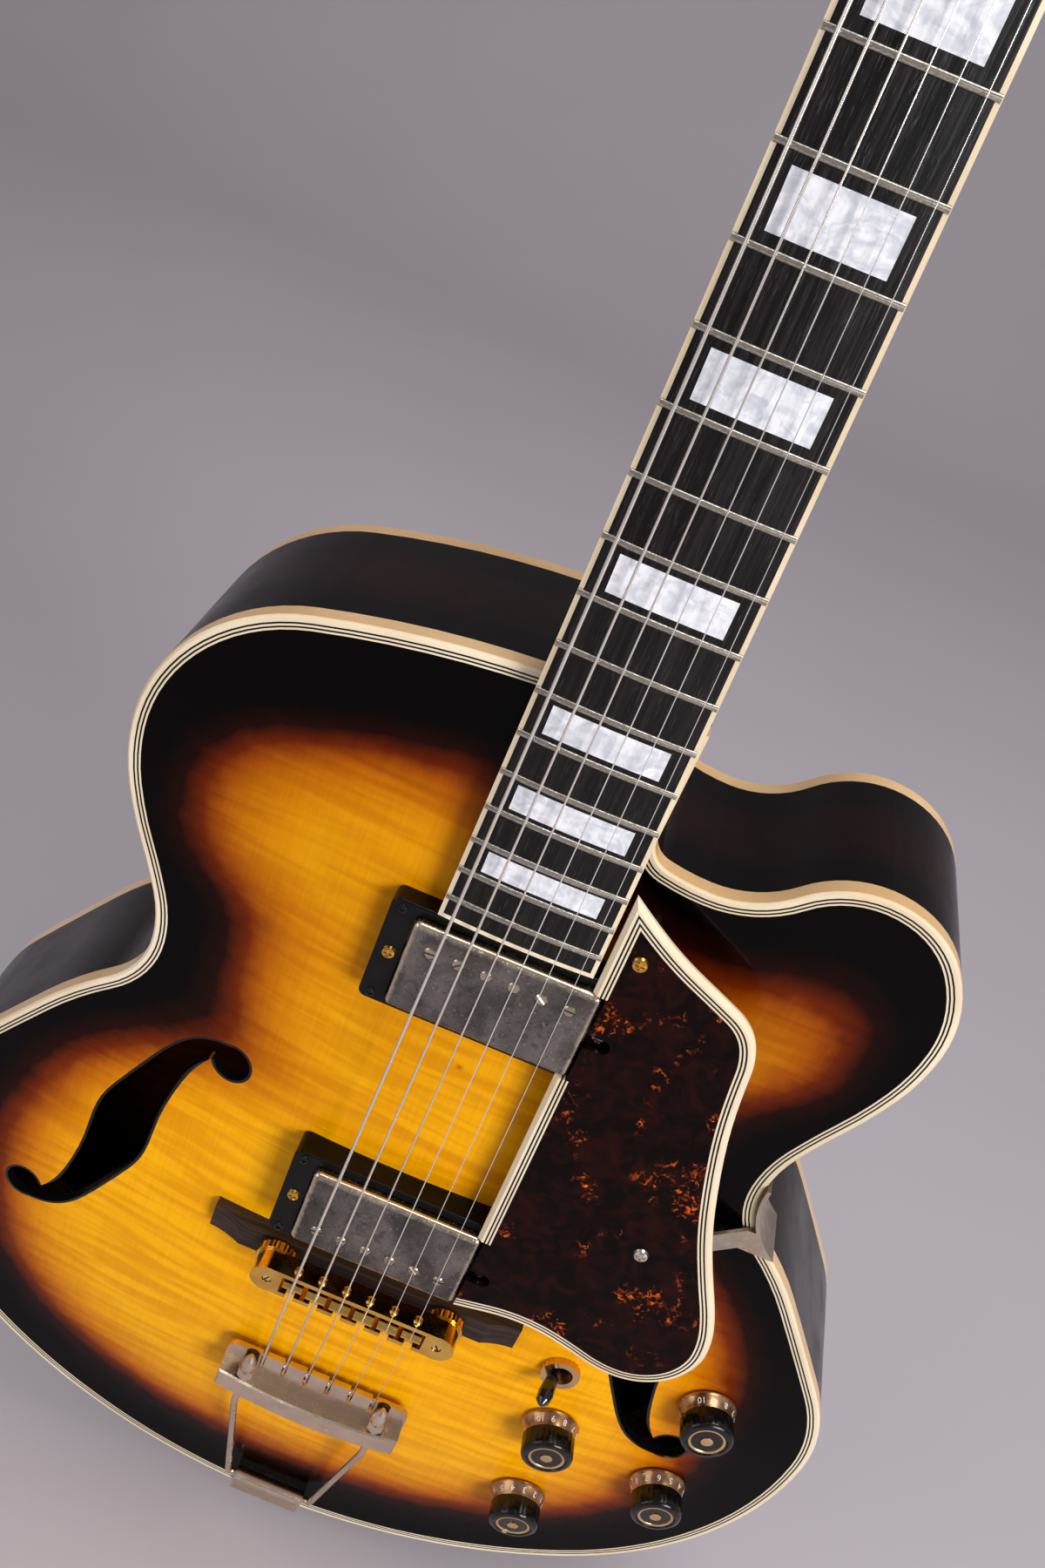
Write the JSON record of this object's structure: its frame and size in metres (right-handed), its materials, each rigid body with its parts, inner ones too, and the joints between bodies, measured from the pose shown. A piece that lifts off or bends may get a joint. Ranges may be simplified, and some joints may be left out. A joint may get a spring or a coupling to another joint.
{
  "type": "hollow body archtop electric guitar",
  "caption": "Archtop electric guitar with a rounded cutaway, f-holes, two pickups, tortoise guard, adjustable bridge and wire-arm tailpiece.",
  "frame": {"origin": "seat of the tail strap button: the tail end of the ribs, mid-depth", "axes": "+Z from the tail to the headstock, +X to the treble side, the front faces -Y"},
  "size_m": [0.418, 0.1286, 1.0482],
  "materials": {
    "sunburst_top": "gloss lacquer, amber centre to black edge",
    "maple_body": "gloss lacquer, dark sunburst",
    "spruce_inside": "raw",
    "cream_binding": "gloss, aged",
    "black_line": "gloss",
    "dark_neck": "gloss lacquer",
    "ebony": "satin",
    "pearl": "pearl",
    "fret_metal": "polished nickel silver",
    "bone": "satin",
    "steel": "plain",
    "black_plastic": "satin",
    "gold": "worn gold plate",
    "string_metal": "nickel wound and plain steel",
    "worn_nickel": "worn plate",
    "pickup_core": "satin",
    "black_screw": "satin",
    "tortoise": "tortoise, gloss",
    "amber_knob": "black grip on a clear gold-backed skirt",
    "switch_tip": "gloss black"
  },
  "bodies": {
    "guitar": {"top_plate": "sunburst_top", "back_plate": "maple_body", "ribs": "maple_body", "inner_frame": "spruce_inside", "body_binding": "cream_binding", "black_purfling": "black_line", "neck": "dark_neck", "fingerboard": "ebony", "fingerboard_binding": "cream_binding", "position_inlays": "pearl", "frets": "fret_metal", "nut": "bone", "truss_rod": "steel", "truss_rod_cover": "black_plastic", "tuner_housings": "gold", "strings": "string_metal", "pickup_rings": "black_plastic", "pickguard": "tortoise", "pickguard_binding": "cream_binding", "pickguard_bracket": "gold", "black_screws": "black_screw", "gold_screws": "gold", "bridge_base": "ebony", "bridge_posts": "gold", "tailpiece_bracket": "gold", "control_pots": "steel", "selector_switch": "gold", "output_jack": "gold", "strap_buttons": "gold"},
    "tuner_post_1": {"tuner_post_1": "gold"},
    "tuner_button_1": {"tuner_button_1": "gold"},
    "tuner_post_2": {"tuner_post_2": "gold"},
    "tuner_button_2": {"tuner_button_2": "gold"},
    "tuner_post_3": {"tuner_post_3": "gold"},
    "tuner_button_3": {"tuner_button_3": "gold"},
    "tuner_post_4": {"tuner_post_4": "gold"},
    "tuner_button_4": {"tuner_button_4": "gold"},
    "tuner_post_5": {"tuner_post_5": "gold"},
    "tuner_button_5": {"tuner_button_5": "gold"},
    "tuner_post_6": {"tuner_post_6": "gold"},
    "tuner_button_6": {"tuner_button_6": "gold"},
    "neck_pickup": {"neck_pickup_cover": "worn_nickel", "neck_pickup_core": "pickup_core"},
    "bridge_pickup": {"bridge_pickup_cover": "worn_nickel", "bridge_pickup_core": "pickup_core"},
    "bridge": {"bridge_bar": "gold"},
    "thumbwheel_bass": {"thumbwheel_bass": "gold"},
    "thumbwheel_treble": {"thumbwheel_treble": "gold"},
    "saddle_1": {"saddle_1": "gold"},
    "saddle_2": {"saddle_2": "gold"},
    "saddle_3": {"saddle_3": "gold"},
    "saddle_4": {"saddle_4": "gold"},
    "saddle_5": {"saddle_5": "gold"},
    "saddle_6": {"saddle_6": "gold"},
    "tailpiece": {"tailpiece_bar": "gold"},
    "knob_neck_volume": {"knob_neck_volume": "amber_knob"},
    "knob_bridge_volume": {"knob_bridge_volume": "amber_knob"},
    "knob_neck_tone": {"knob_neck_tone": "amber_knob"},
    "knob_bridge_tone": {"knob_bridge_tone": "amber_knob"},
    "switch_lever": {"switch_lever": "switch_tip"}
  },
  "joints": [
    {"name": "tuner_button_turn_1", "type": "hinge", "parent": "guitar", "child": "tuner_button_1", "pos_m": [0.027, 0.01231, 0.89633], "axis": [1, 0, 0], "continuous": true},
    {"name": "tuner_post_turn_1", "type": "hinge", "parent": "guitar", "child": "tuner_post_1", "pos_m": [0.027, -0.00766, 0.90282], "axis": [0, -0.9511, 0.309], "continuous": true, "deforming": ["strings"]},
    {"name": "tuner_button_turn_2", "type": "hinge", "parent": "guitar", "child": "tuner_button_2", "pos_m": [0.027, 0.02467, 0.93437], "axis": [1, 0, 0], "continuous": true},
    {"name": "tuner_post_turn_2", "type": "hinge", "parent": "guitar", "child": "tuner_post_2", "pos_m": [0.027, 0.0047, 0.94086], "axis": [0, -0.9511, 0.309], "continuous": true, "deforming": ["strings"]},
    {"name": "tuner_button_turn_3", "type": "hinge", "parent": "guitar", "child": "tuner_button_3", "pos_m": [0.027, 0.03703, 0.97241], "axis": [1, 0, 0], "continuous": true},
    {"name": "tuner_post_turn_3", "type": "hinge", "parent": "guitar", "child": "tuner_post_3", "pos_m": [0.027, 0.01706, 0.9789], "axis": [0, -0.9511, 0.309], "continuous": true, "deforming": ["strings"]},
    {"name": "tuner_button_turn_4", "type": "hinge", "parent": "guitar", "child": "tuner_button_4", "pos_m": [-0.027, 0.03703, 0.97241], "axis": [-1, 0, 0], "continuous": true},
    {"name": "tuner_post_turn_4", "type": "hinge", "parent": "guitar", "child": "tuner_post_4", "pos_m": [-0.027, 0.01706, 0.9789], "axis": [0, -0.9511, 0.309], "continuous": true, "deforming": ["strings"]},
    {"name": "tuner_button_turn_5", "type": "hinge", "parent": "guitar", "child": "tuner_button_5", "pos_m": [-0.027, 0.02467, 0.93437], "axis": [-1, 0, 0], "continuous": true},
    {"name": "tuner_post_turn_5", "type": "hinge", "parent": "guitar", "child": "tuner_post_5", "pos_m": [-0.027, 0.0047, 0.94086], "axis": [0, -0.9511, 0.309], "continuous": true, "deforming": ["strings"]},
    {"name": "tuner_button_turn_6", "type": "hinge", "parent": "guitar", "child": "tuner_button_6", "pos_m": [-0.027, 0.01231, 0.89633], "axis": [-1, 0, 0], "continuous": true},
    {"name": "tuner_post_turn_6", "type": "hinge", "parent": "guitar", "child": "tuner_post_6", "pos_m": [-0.027, -0.00766, 0.90282], "axis": [0, -0.9511, 0.309], "continuous": true, "deforming": ["strings"]},
    {"name": "neck_pickup_height", "type": "slide", "parent": "guitar", "child": "neck_pickup", "axis": [0, -0.9971, 0.0759], "range_m": [-0.002, 0.0012]},
    {"name": "bridge_pickup_height", "type": "slide", "parent": "guitar", "child": "bridge_pickup", "axis": [0, -0.9971, 0.0759], "range_m": [-0.002, 0.0012]},
    {"name": "bridge_height", "type": "slide", "parent": "guitar", "child": "bridge", "axis": [0, -1, 0], "range_m": [-0.0015, 0.0015], "deforming": ["strings"]},
    {"name": "thumbwheel_bass_turn", "type": "hinge", "parent": "bridge", "child": "thumbwheel_bass", "pos_m": [-0.037, -0.06169, 0.20931], "axis": [0, -1, 0], "range_deg": [-810, 810]},
    {"name": "thumbwheel_treble_turn", "type": "hinge", "parent": "bridge", "child": "thumbwheel_treble", "pos_m": [0.037, -0.06169, 0.20931], "axis": [0, -1, 0], "range_deg": [-810, 810]},
    {"name": "saddle_slide_1", "type": "slide", "parent": "bridge", "child": "saddle_1", "axis": [0, 0, 1], "range_m": [-0.00245, 0.00245], "deforming": ["strings"]},
    {"name": "saddle_slide_2", "type": "slide", "parent": "bridge", "child": "saddle_2", "axis": [0, 0, 1], "range_m": [-0.00245, 0.00245], "deforming": ["strings"]},
    {"name": "saddle_slide_3", "type": "slide", "parent": "bridge", "child": "saddle_3", "axis": [0, 0, 1], "range_m": [-0.00245, 0.00245], "deforming": ["strings"]},
    {"name": "saddle_slide_4", "type": "slide", "parent": "bridge", "child": "saddle_4", "axis": [0, 0, 1], "range_m": [-0.00245, 0.00245], "deforming": ["strings"]},
    {"name": "saddle_slide_5", "type": "slide", "parent": "bridge", "child": "saddle_5", "axis": [0, 0, 1], "range_m": [-0.00245, 0.00245], "deforming": ["strings"]},
    {"name": "saddle_slide_6", "type": "slide", "parent": "bridge", "child": "saddle_6", "axis": [0, 0, 1], "range_m": [-0.00245, 0.00245], "deforming": ["strings"]},
    {"name": "tailpiece_swing", "type": "hinge", "parent": "guitar", "child": "tailpiece", "pos_m": [0, -0.045, 0.0185], "axis": [1, 0, 0], "range_deg": [-0.8, 3], "stiffness_Nm_per_rad": 80, "deforming": ["strings"]},
    {"name": "knob_neck_volume_turn", "type": "hinge", "parent": "guitar", "child": "knob_neck_volume", "pos_m": [0.10108, -0.04973, 0.15548], "axis": [0.094, -0.9952, -0.0263], "range_deg": [0, 270]},
    {"name": "knob_bridge_volume_turn", "type": "hinge", "parent": "guitar", "child": "knob_bridge_volume", "pos_m": [0.15659, -0.04279, 0.19704], "axis": [0.1132, -0.9926, 0.0438], "range_deg": [0, 270]},
    {"name": "knob_neck_tone_turn", "type": "hinge", "parent": "guitar", "child": "knob_neck_tone", "pos_m": [0.10657, -0.04456, 0.09241], "axis": [0.0868, -0.9903, -0.1087], "range_deg": [0, 270]},
    {"name": "knob_bridge_tone_turn", "type": "hinge", "parent": "guitar", "child": "knob_bridge_tone", "pos_m": [0.15859, -0.04237, 0.13547], "axis": [0.1125, -0.9928, -0.0416], "range_deg": [0, 270]},
    {"name": "switch_throw", "type": "hinge", "parent": "guitar", "child": "switch_lever", "pos_m": [0.09143, -0.04373, 0.19333], "axis": [-0.343, -0.0063, 0.9393], "range_deg": [0, 32]}
  ],
  "couplings": [
    {"joint": "tuner_post_turn_1", "follows": "tuner_button_turn_1", "ratio": 0.0625},
    {"joint": "tuner_post_turn_2", "follows": "tuner_button_turn_2", "ratio": 0.0625},
    {"joint": "tuner_post_turn_3", "follows": "tuner_button_turn_3", "ratio": 0.0625},
    {"joint": "tuner_post_turn_4", "follows": "tuner_button_turn_4", "ratio": -0.0625},
    {"joint": "tuner_post_turn_5", "follows": "tuner_button_turn_5", "ratio": -0.0625},
    {"joint": "tuner_post_turn_6", "follows": "tuner_button_turn_6", "ratio": -0.0625},
    {"joint": "thumbwheel_bass_turn", "follows": "bridge_height", "rad_per_m": 8976},
    {"joint": "thumbwheel_treble_turn", "follows": "bridge_height", "rad_per_m": 8976}
  ]
}
